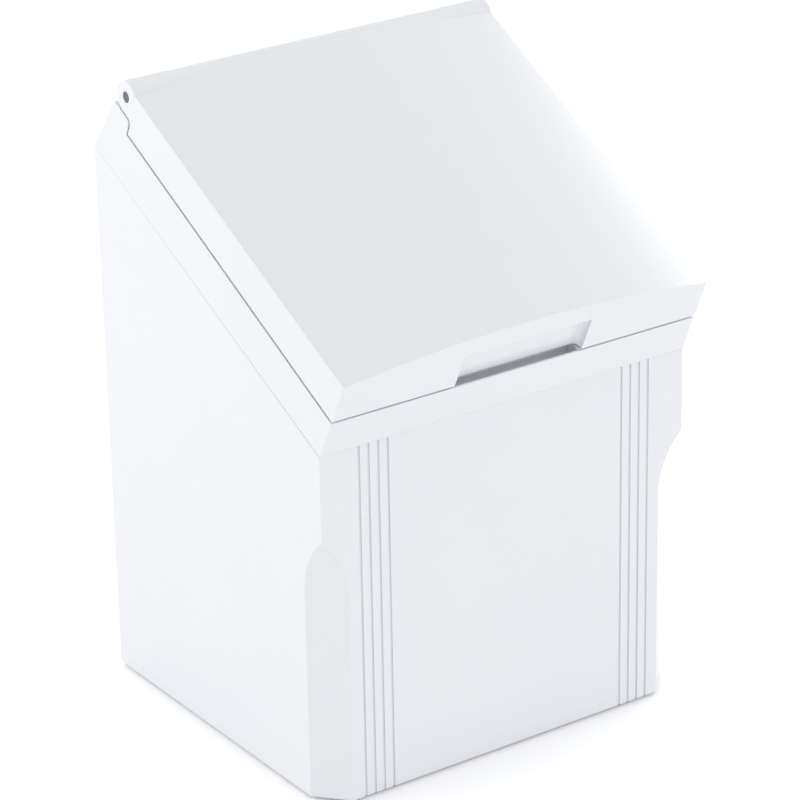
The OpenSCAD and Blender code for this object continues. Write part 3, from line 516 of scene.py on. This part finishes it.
makeCasing()
print("casing made")


# collar

collarSet = {
    "thickness": 0.040,
    "wall": 0.003,
    "frontLean": math.tan(math.radians(3)),  # how far the front face leans back
    "rearLean": math.tan(math.radians(7)),
    "sideInset": 0.0018,
    "sideDraft": 0.0015,
    "halfGap": 0.0012,
    "cradle": 0.0126,
    "cradleRound": 0.0045,
    "stepAlong": 0.3464,
    "stepRun": 0.002,
    "troughHalf": 0.064,
    "troughFront": 0.0016,
    "troughBack": 0.0125,
    "troughDepth": 0.012,
    "troughWall": 0.002,
    "troughRound": 0.003,
    "buttonRoom": 0.009,
    "lampRoom": 0.0033,
    "rockerRoom": (0.0131, 0.0075),  # half sizes
    "strikerRoom": ((-0.014, 0.044), (0.014, 0.058)),
    "deckBelow": 0.012,
    "deckAbove": 0.003,
    "rimGap": 0.0012 + 0.0015,  # the liner's sheet and the gap inside it
    "lugHalf": 0.012,
    "neckLow": (-0.012, -0.0085, -0.0195),  # corners of a lug's neck, from the hinge axis
    "neckHigh": (0.012, 0.002, -0.004),
    "lugEdge": 0.0005,
    "edge": 0.0008,
}


def collarBlock(inset, bottomDrop):  # in the slope's own axes: across, along the slope, off the slope
    s = collarSet
    edgePoint = Vector((0, frontY, baseZ + casingSet["frontHeight"]))
    rise = (rearY - frontY) * math.tan(casingSet["edgeSlope"])
    tilt = casingSet["edgeSlope"] - slope
    frontEdge = slopeBack @ edgePoint
    rearEdge = slopeBack @ Vector((0, rearY, edgePoint.z + rise))
    cradle = s["cradle"] - inset
    block = blockAt("collarBlock", (-0.25, -0.05, -0.12), (0.25, 0.45, cradle))
    trim(block, (0, inset, 0), (0, -1, s["frontLean"]))
    trim(block, (0, rearEdge.y - inset, rearEdge.z), (0, 1, s["rearLean"]))
    for side in (-1, 1):
        half = halfWidth - s["sideInset"] - inset
        trim(block, (side * half, 0, 0), (side, 0, s["sideDraft"] / s["thickness"]))
    trim(block, frontEdge - Vector((0, 0, bottomDrop)), (0, math.sin(tilt), -math.cos(tilt)))
    step = blockAt("step", (-0.3, -0.1, -s["halfGap"] - inset), (0.3, s["stepAlong"] + inset, 0.1))
    pickPoints(step, lambda co: co.y > 0.2 and co.z > 0.05)
    movePicked(0, s["stepRun"] * 7, 0)
    combine(block, step)
    stepEnd = s["stepAlong"] + 0.01
    pickEdges(
        block,
        lambda a, b: abs(a.x - b.x) > 0.3 and max(abs(a.z - cradle), abs(b.z - cradle)) < 0.0005
        and max(a.y, b.y) < stepEnd,
    )
    roundPicked(s["cradleRound"])
    return block


def middleOf(node):  # in the slope's own axes
    low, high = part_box(node)
    return slopeBack @ ((low + high) / 2)


def deckCutters():  # openings in the collar's deck for the striker and the controls
    s = collarSet
    below, above = -s["deckBelow"], s["deckAbove"]
    button, lamp, rocker = middleOf("start_button"), middleOf("status_lamp"), middleOf("power_rocker")
    wide, deep = s["rockerRoom"]
    strikerLow, strikerHigh = s["strikerRoom"]
    return [
        rodAt("cut", (button.x, button.y, below), (button.x, button.y, above), s["buttonRoom"]),
        rodAt("cut", (lamp.x, lamp.y, below), (lamp.x, lamp.y, above), s["lampRoom"]),
        blockAt("cut", (rocker.x - wide, lamp.y - deep, below), (rocker.x + wide, lamp.y + deep, above)),
        blockAt("cut", (*strikerLow, below), (*strikerHigh, above)),
    ]


def troughBlock(grow):  # the finger trough below the lid's recess
    s = collarSet
    half = s["troughHalf"] + grow
    front = s["troughFront"] - (0.02 if grow else 0)
    floor = -s["halfGap"] - s["troughDepth"] - grow
    block = blockAt(
        "trough", (-half, front, floor), (half, s["troughBack"] + grow, -s["halfGap"] if grow else 0.01)
    )
    low = floor + 0.001
    pickEdges(block, lambda a, b: max(a.z, b.z) < low or (abs(a.z - b.z) > 0.01 and min(a.y, b.y) > 0.01))
    roundPicked(s["troughRound"] + grow, 6)
    return block


def makeLug(bush):  # carries a hinge bush
    s = collarSet
    boreRadius = lidPlace["pinRadius"] + lidPlace["bushWall"]
    low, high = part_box(bush)
    axis = Vector(((low.x + high.x) / 2, lidPlace["hingeAlong"], lidPlace["hingeAbove"]))
    reach = Vector((s["lugHalf"], 0, 0))
    lug = rodAt("lug", axis - reach, axis + reach, boreRadius + lidPlace["lugWall"], 64)
    combine(lug, blockAt("neck", axis + Vector(s["neckLow"]), axis + Vector(s["neckHigh"])), "UNION")
    combine(lug, rodAt("bore", axis - reach * 2, axis + reach * 2, boreRadius, 64))
    return easeEdges(tidyMesh(lug), s["lugEdge"], 2)


def makeCollar():
    s = collarSet
    collar = collarBlock(0, 0)
    hollow = collarBlock(s["wall"], 0.02)
    linerLow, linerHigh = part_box("chamber_liner")
    low = Vector((linerLow.x + s["rimGap"], linerLow.y + s["rimGap"], 0))
    high = Vector((linerHigh.x - s["rimGap"], linerHigh.y - s["rimGap"], 0.9))
    mouthWall = Vector((s["wall"], s["wall"], 0))
    rim = blockAt("rim", low, high)
    mouth = blockAt("mouth", low + mouthWall, high - mouthWall)
    for upright in (rim, mouth):
        upright.data.transform(slopeBack)
    combine(hollow, rim)
    combine(collar, hollow)
    combine(collar, mouth)
    shape = collarBlock(0, 0)
    combine(shape, troughBlock(s["troughWall"]), "INTERSECT")
    combine(collar, shape, "UNION")
    combine(collar, troughBlock(0))
    for cutter in deckCutters():
        combine(collar, cutter)
    tidyMesh(collar)
    easeEdges(collar, s["edge"], 3)
    lugs = [makeLug(bush) for bush in ("hinge_bush_left", "hinge_bush_right")]
    collar = join("collarMoulding", [collar, *lugs])
    return fit(ontoSlope(collar), "cabinetWhite", "collar", angle=30)


makeCollar()
print("collar made")


# lid

lidSet = {
    "thickness": 0.040,
    "wall": 0.003,
    "sideDraft": 0.0011,
    "crownFront": 0.0175,
    "crownRear": 0.0052,
    "columns": 30,
    "knuckle": 0.0145,
    "stepAlong": 0.3434,
    "stepRound": 0.0065,
    "floorAbove": 0.015,  # underside of the lid over the collar's cradle
    "recessHalf": 0.066,
    "recessHeight": 0.036,
    "recessDepth": 0.008,
    "recessFillet": 0.0065,
    "lugRoomHalf": 0.013,
    "lugRoomGap": 0.001,
    "sweep": (0.034, 0.032),  # back and down from the hinge axis, for the lug as the lid turns
    "sweepTop": (-0.012, 0.026),
    "sweepFront": -0.024,
    "pinHole": (0.1115, 0.2),
    "edge": 0.0009,
}


def crownAt(x, half, height):  # rise of a round crown
    radius = (half * half + height * height) / (2 * height)
    return math.sqrt(max(radius * radius - x * x, 0)) - (radius - height)


def lidBlock(inset):
    s = lidSet
    half = halfWidth - collarSet["sideInset"] - inset
    rearEdge = lidPlace["hingeAlong"] if inset == 0 else s["stepAlong"] - inset
    low = -half, -0.01, collarSet["halfGap"] - inset
    block = blockAt("lidBlock", low, (half, rearEdge, s["thickness"] - inset))
    lines = [half * math.sin(math.pi * (k / s["columns"] - 0.5)) for k in range(1, s["columns"])]
    for x in lines:
        score(block, (x, 0, 0), (1, 0, 0))
    for x in lines:
        for front in (True, False):
            rise = crownAt(x, half, s["crownFront"] if front else s["crownRear"])
            pickPoints(block, lambda co: abs(co.x - x) < 1e-5 and co.z > 0.02 and (co.y < 0.1) == front)
            movePicked(0, 0, rise)
    trim(block, (0, inset, 0), (0, -1, collarSet["frontLean"]))
    for side in (-1, 1):
        trim(block, (side * half, 0, 0), (side, 0, s["sideDraft"] / s["thickness"]))
    return block


def underCutter():  # room over the collar's step and cradle
    s = lidSet
    under = blockAt("under", (-0.3, s["stepAlong"], -0.02), (0.3, 0.42, s["floorAbove"]))
    pickPoints(under, lambda co: co.y < 0.36 and co.z > 0)
    movePicked(0, collarSet["stepRun"], 0)
    pickEdges(under, lambda a, b: min(a.z, b.z) > 0 and max(a.y, b.y) < 0.36)
    roundPicked(s["stepRound"])
    return under


def pocketCutter():  # the finger recess
    s = lidSet
    high = s["recessHalf"], s["recessDepth"], s["recessHeight"]
    pocket = blockAt("pocket", (-s["recessHalf"], -0.02, -0.01), high)
    pickEdges(pocket, lambda a, b: min(a.y, b.y) > 0 and max(a.z, b.z) > 0.01)
    roundPicked(s["recessFillet"])
    return pocket


def clearLug(lid, bush, side):  # room for a lug as the lid turns, and the pin's hole
    s = lidSet
    low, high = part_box(bush)
    at = Vector(((low.x + high.x) / 2, lidPlace["hingeAlong"], lidPlace["hingeAbove"]))
    half = s["lugRoomHalf"]
    reach = Vector((half, 0, 0))
    lugRoom = lidPlace["pinRadius"] + lidPlace["bushWall"] + lidPlace["lugWall"] + s["lugRoomGap"]
    combine(lid, rodAt("lugRoom", at - reach, at + reach, lugRoom, 64))
    back, down = s["sweep"]
    sweep = blockAt("sweep", at + Vector((-half, -0.0001, -down)), at + Vector((half, back, 0.0001)))
    pickPoints(sweep, lambda co: co.z > at.z - 0.01 and co.y > at.y + 0.01)
    movePicked(0, *s["sweepTop"])
    pickPoints(sweep, lambda co: co.z < at.z - 0.02 and co.y < at.y + 0.01)
    movePicked(0, s["sweepFront"], 0)
    combine(lid, sweep)
    hole = [Vector((side * x, at.y, at.z)) for x in s["pinHole"]]
    combine(lid, rodAt("pinHole", *hole, lidPlace["pinRadius"] + 0.0001))


def makeLid():
    s = lidSet
    axis = Vector((0, lidPlace["hingeAlong"], lidPlace["hingeAbove"]))
    half = halfWidth - collarSet["sideInset"]
    reach = Vector((half - s["sideDraft"] * axis.z / s["thickness"], 0, 0))
    lid = lidBlock(0)
    combine(lid, rodAt("knuckle", axis - reach, axis + reach, s["knuckle"], 96), "UNION")
    combine(lid, underCutter())
    hollow = lidBlock(s["wall"])
    side, wall = s["recessHalf"], s["wall"]
    pocketWall = blockAt(
        "pocketWall", (-side - wall, -0.02, collarSet["halfGap"]),
        (side + wall, s["recessDepth"] + wall, s["recessHeight"] + wall),
    )
    combine(hollow, pocketWall)
    combine(lid, hollow)
    combine(lid, pocketCutter())
    clearLug(lid, "hinge_bush_left", -1)
    clearLug(lid, "hinge_bush_right", 1)
    tidyMesh(lid)
    easeEdges(lid, s["edge"], 3, 26)
    return fit(ontoSlope(lid), "cabinetWhite", "lid_shell", angle=24)


makeLid()
print("lid made")


# hinge pins

pinSet = {"sides": 64, "edge": 0.0006, "rim": 0.0016, "sink": 0.0008}


def makePin(node):
    s = pinSet
    low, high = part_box(node)
    outward = 1 if low.x > 0 else -1
    outer = max(abs(low.x), abs(high.x))
    inner = min(abs(low.x), abs(high.x))
    ends = [(outward * x, hingePoint.y, hingePoint.z) for x in (inner, outer)]
    pin = rodAt("pin", *ends, lidPlace["pinRadius"], s["sides"])
    easeEdges(pin, s["edge"], 3, 50)
    pickFaces(pin, lambda centre, normal: normal.x * outward > 0.99 and abs(centre.x) > outer - 0.001)
    bpy.ops.mesh.inset(thickness=s["rim"], depth=-s["sink"])
    putDown()
    return fit(pin, "pinSteel", node)


for node, name in (("hinge_pin_left", "hingePinLeft"), ("hinge_pin_right", "hingePinRight")):
    makePin(node).name = name
print("hinge pins made")


# every other piece: a copy of its CAD shape with eased edges

easeSet = {  # width of the eased edge
    "rear_cover": 0.0004, "base_tray": 0.0004, "rubber_feet": 0.0008, "chamber_liner": 0.0003,
    "upright_left": 0.0005, "upright_right": 0.0005, "front_rail": 0.0005, "rear_rail": 0.0005,
    "hinge_bush_left": 0.0003, "hinge_bush_right": 0.0003, "lower_bearing_left": 0.0008,
    "lower_bearing_right": 0.0008, "upper_bearing_left": 0.0006, "upper_bearing_right": 0.0006,
    "drive_motor": 0.0012, "motor_bracket": 0.0005, "drive_belt": 0.0003, "idler_bracket": 0.0004,
    "control_board": 0.0003, "motor_capacitor": 0.0008, "power_inlet": 0.0005, "control_panel": 0.0005,
    "status_lamp": 0.0008, "lower_limit_switch": 0.0004, "upper_limit_switch": 0.0004, "lid_sensor": 0.0006,
    "lock_bracket": 0.0003, "lock_solenoid": 0.0006, "bag_ring": 0.0002, "cover_screws": 0.0004,
    "frame_screws": 0.0005, "lid_liner": 0.0004, "anvil_plate": 0.0005, "lid_gasket": 0.0010,
    "lid_striker": 0.0004, "lid_magnet": 0.0005, "charcoal_filter": 0.0012, "liner_screws": 0.0005,
    "ram_plate": 0.0005, "ram_wiper": 0.0006, "ram_beam": 0.0007, "screw_nut_left": 0.0006,
    "screw_nut_right": 0.0006, "ram_bolts": 0.0005, "lift_screw_left": 0.0005, "lift_screw_right": 0.0005,
    "screw_pulley_left": 0.0004, "screw_pulley_right": 0.0004, "motor_shaft": 0.0005,
    "motor_pulley": 0.0004, "idler_roller": 0.0005, "lock_hook": 0.0004, "lock_plunger": 0.0003,
    "start_button": 0.0012, "power_rocker": 0.0007,
}
headSet = {  # outward direction of the heads, rim left round the socket, depth of the socket
    "cover_screws": (Vector((0, 1, 0)), 0.0019, 0.0009),
    "liner_screws": (-slopeOut, 0.0019, 0.0010),
    "frame_screws": (Vector((0, 0, 1)), 0.0026, 0.0016),
    "ram_bolts": (Vector((0, 0, 1)), 0.0024, 0.0010),
}
panSet = {"margin": 0.013, "rib": 0.012, "columns": 3, "depth": 0.0012, "corner": 0.005}
markSet = {
    "arrow": 0.0036,
    "arrowDepth": 0.0005,
    "bar": (0.0026, 0.0008),  # half length and width
    "barDepth": 0.0022,
    "dot": 0.0013,
    "dotDepth": 0.0028,
    "apart": 0.0036,
    "above": 0.002,
}
threadSet = {
    "core": 0.0066,
    "crest": 0.0078,
    "lead": 0.02,
    "starts": 4,
    "root": 0.0034,  # width of a ridge at the core
    "flat": 0.0014,  # width of a ridge at the crest
    "sunk": 0.0004,  # how far a ridge reaches into the core
    "leastCollar": 0.003,
    "steps": 32,
}


def bareCopy(node):
    clearPick()
    source = frame["nodes"][node]
    piece = bpy.data.objects.new(node + ".eased", source.data.copy())
    bpy.context.scene.collection.objects.link(piece)
    tidyMesh(piece, 0.00001)
    return modify(piece, "DECIMATE", decimate_type="DISSOLVE", angle_limit=math.radians(1.5))


def sinkHeads(piece, outward, rim, depth):  # a socket in every screw head
    pickFaces(piece, lambda centre, normal: normal.dot(outward) > 0.999)
    bpy.ops.mesh.inset(thickness=rim, use_individual=True)
    bpy.ops.mesh.inset(thickness=0.0001, depth=-depth, use_individual=True)
    putDown()


def pressPans(piece, low, high, rows, faceZ, onSlope):  # shallow pans with ribs left between them
    s = panSet
    width = (high.x - low.x - 2 * s["margin"] - (s["columns"] - 1) * s["rib"]) / s["columns"]
    for front, back in rows:
        for column in range(s["columns"]):
            left = low.x + s["margin"] + column * (width + s["rib"])
            corners = (left, front, faceZ - s["depth"]), (left + width, back, faceZ + s["depth"])
            pan = blockAt("pan", *corners)
            pickEdges(pan, lambda a, b: abs(a.z - b.z) > s["depth"])
            roundPicked(s["corner"], 4)
            combine(piece, ontoSlope(pan) if onSlope else pan)


def pressAnvil(piece):
    low, high = cornersIn(piece, slopeBack)
    margin, gap = panSet["margin"], panSet["rib"] / 2
    middle = (low.y + high.y) / 2
    rows = (low.y + margin, middle - gap), (middle + gap, high.y - margin)
    pressPans(piece, low, high, rows, low.z, True)


def pressRam(piece):
    low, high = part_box("ram_plate")
    boltLow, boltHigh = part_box("ram_bolts")
    margin, gap = panSet["margin"], panSet["rib"] / 2
    rows = (low.y + margin, boltLow.y - gap), (boltHigh.y + gap, high.y - margin)
    pressPans(piece, low, high, rows, high.z, False)


def markButton(piece):  # an arrow sunk into the cap
    s = markSet
    low, high = cornersIn(piece, slopeBack)
    x, y = (low.x + high.x) / 2, (low.y + high.y) / 2
    arrow = rodAt("arrow", (x, y, high.z - s["arrowDepth"]), (x, y, high.z + s["above"]), s["arrow"], 3)
    combine(piece, ontoSlope(arrow))


def markRocker(piece):  # a bar and a dot, for on and off
    s = markSet
    low, high = cornersIn(piece, slopeBack)
    x, y = (low.x + high.x) / 2, (low.y + high.y) / 2
    tall, wide = s["bar"]
    barY, dotY, top = y - s["apart"], y + s["apart"], high.z + s["above"]
    corners = (x - tall, barY - wide / 2, high.z - s["barDepth"]), (x + tall, barY + wide / 2, top)
    combine(piece, ontoSlope(blockAt("bar", *corners)))
    dot = rodAt("dot", (x, dotY, high.z - s["dotDepth"]), (x, dotY, top), s["dot"], 32)
    combine(piece, ontoSlope(dot))


def makeRidge(turns):  # one start of the thread, wound up from the origin
    s = threadSet
    clearPick()
    bpy.ops.mesh.primitive_plane_add(size=1, location=(0, 0, 0))
    ridge = bpy.context.object
    inner, outer = s["core"] - s["sunk"], s["crest"]
    root, flat = s["root"] / 2, s["flat"] / 2
    outline = (inner, -root), (outer, -flat), (inner, root), (outer, flat)
    for point, (reach, height) in zip(ridge.data.vertices, outline):
        point.co = (reach, 0, height)
    openAll(ridge)
    bpy.ops.mesh.delete(type="ONLY_FACE")
    putDown()
    modify(
        ridge, "SCREW", axis="Z", angle=math.tau, screw_offset=s["lead"], iterations=turns,
        steps=s["steps"], render_steps=s["steps"], use_normal_calculate=True,
    )
    openAll(ridge)
    bpy.ops.mesh.fill_holes(sides=4)
    bpy.ops.mesh.select_all(action="SELECT")
    bpy.ops.mesh.normals_make_consistent(inside=False)
    putDown()
    return ridge


def cutThread(piece):  # four-start thread: ridges round a thinner core, with a plain collar at each end
    s = threadSet
    low, high = cornersIn(piece, Matrix.Identity(4))
    x, y = (low.x + high.x) / 2, (low.y + high.y) / 2
    full = (high.x - low.x) / 2

    def isBroad(co):
        return math.hypot(co.x - x, co.y - y) > full * 0.97

    broad = [point.co.z for point in piece.data.vertices if isBroad(point.co)]
    start, end = min(broad), max(broad)
    pickPoints(piece, isBroad)
    bpy.ops.transform.resize(value=(s["core"] / full, s["core"] / full, 1), center_override=(x, y, start))
    putDown()
    turns = int((end - start - 2 * s["leastCollar"]) / s["lead"])
    collar = (end - start - turns * s["lead"]) / 2
    ridges = []
    for first in range(s["starts"]):
        ridge = makeRidge(turns)
        turn = Matrix.Rotation(first * math.tau / s["starts"], 4, "Z")
        ridge.data.transform(Matrix.Translation((x, y, start + collar)) @ turn)
        ridges.append(ridge)
    ends = [
        rodAt("collar", (x, y, start), (x, y, start + collar + 0.001), s["crest"], 64),
        rodAt("collar", (x, y, end - collar - 0.001), (x, y, end), s["crest"], 64),
    ]
    return join(piece.name, [piece, *ridges, *ends])


detailSet = {
    "anvil_plate": pressAnvil, "ram_plate": pressRam,
    "start_button": markButton, "power_rocker": markRocker,
}


def easedCopy(node, width):
    piece = bareCopy(node)
    if node in headSet:
        sinkHeads(piece, *headSet[node])
    if node in detailSet:
        detailSet[node](piece)
    easeEdges(piece, width, 2, 35)
    if node in ("lift_screw_left", "lift_screw_right"):
        piece = cutThread(piece)
    return fit(piece, slotFinish[nodeSlot[node]], node)


for node, width in easeSet.items():
    easedCopy(node, width)
print("eased copies made:", len(easeSet))


# floor, light and camera

stageSet = {
    "floorSize": 14,
    "floorTone": (0.95, 0.95, 0.95, 1),
    "floorShade": 0.985,
    "floorGlow": 0.12,
    "world": 0.945,
    "aim": (0, 0, 0.3),
    "lamps": {  # power, size, place
        "leftBack": (33, 2.4, (-3.2, 1.8, 1.7)),
        "rightFront": (24, 2.2, (2.2, -2.8, 0.3)),
        "right": (23, 1.1, (3.55, 0.78, 2.85)),
    },
}
cameraSet = {
    "azimuth": -34.61,
    "elevation": 23.55,
    "roll": -1.055,
    "distance": 3.3139,
    "aimX": 0.00871,
    "aimAbove": 0.26873,  # above the casing's lower edge
    "sensor": 36,
    "lens": 168.3405,
}


def areaLight(name, power, size, place):
    data = bpy.data.lights.new(name, "AREA")
    data.energy = power
    data.shape = "SQUARE"
    data.size = size
    lamp = bpy.data.objects.new(name, data)
    bpy.context.scene.collection.objects.link(lamp)
    lamp.location = place
    lamp.rotation_euler = (Vector(stageSet["aim"]) - Vector(place)).to_track_quat("-Z", "Y").to_euler()


def makeFloor():
    s = stageSet
    clearPick()
    bpy.ops.mesh.primitive_plane_add(size=s["floorSize"], location=(0, 0, 0))
    floor = bpy.context.object
    floor.name = "studioFloor"
    shader, place = startFinish("floorPaper", Roughness=0.9, Emission_Strength=s["floorGlow"])
    shader.inputs["Emission Color"].default_value = (1, 1, 1, 1)
    fibre = cloud(place, scale=220.0)
    shade = tuple(level * s["floorShade"] for level in s["floorTone"][:3]) + (1,)
    feed(shader, Base_Color=blendColour(spread(fibre, 0.0, 1.0), s["floorTone"], shade))
    floor.data.materials.append(finishes["floorPaper"])


def makeLight():
    world = bpy.data.worlds.new("studio")
    world.use_nodes = True
    background = world.node_tree.nodes["Background"]
    background.inputs["Color"].default_value = (1, 1, 1, 1)
    background.inputs["Strength"].default_value = stageSet["world"]
    bpy.context.scene.world = world
    for name, lamp in stageSet["lamps"].items():
        areaLight(name, *lamp)


def makeCamera():
    s = cameraSet
    azimuth, elevation, roll = (math.radians(s[key]) for key in ("azimuth", "elevation", "roll"))
    target = Vector((s["aimX"], (frontY + rearY) / 2, s["aimAbove"] + baseZ))
    level = math.cos(elevation)
    back = Vector((math.sin(azimuth) * level, -math.cos(azimuth) * level, math.sin(elevation)))
    right = Vector((0, 0, 1)).cross(back).normalized()
    up = back.cross(right)
    rolledRight = right * math.cos(roll) + up * math.sin(roll)
    rolledUp = up * math.cos(roll) - right * math.sin(roll)
    data = bpy.data.cameras.new("camera")
    data.sensor_width = s["sensor"]
    data.lens = s["lens"]
    camera = bpy.data.objects.new("camera", data)
    bpy.context.scene.collection.objects.link(camera)
    turn = Matrix((rolledRight, rolledUp, back)).transposed().to_4x4()
    camera.matrix_world = Matrix.Translation(target + back * s["distance"]) @ turn
    bpy.context.scene.camera = camera


makeFloor()
makeLight()
makeCamera()
bpy.context.scene.view_settings.view_transform = "Standard"
print("stage set")
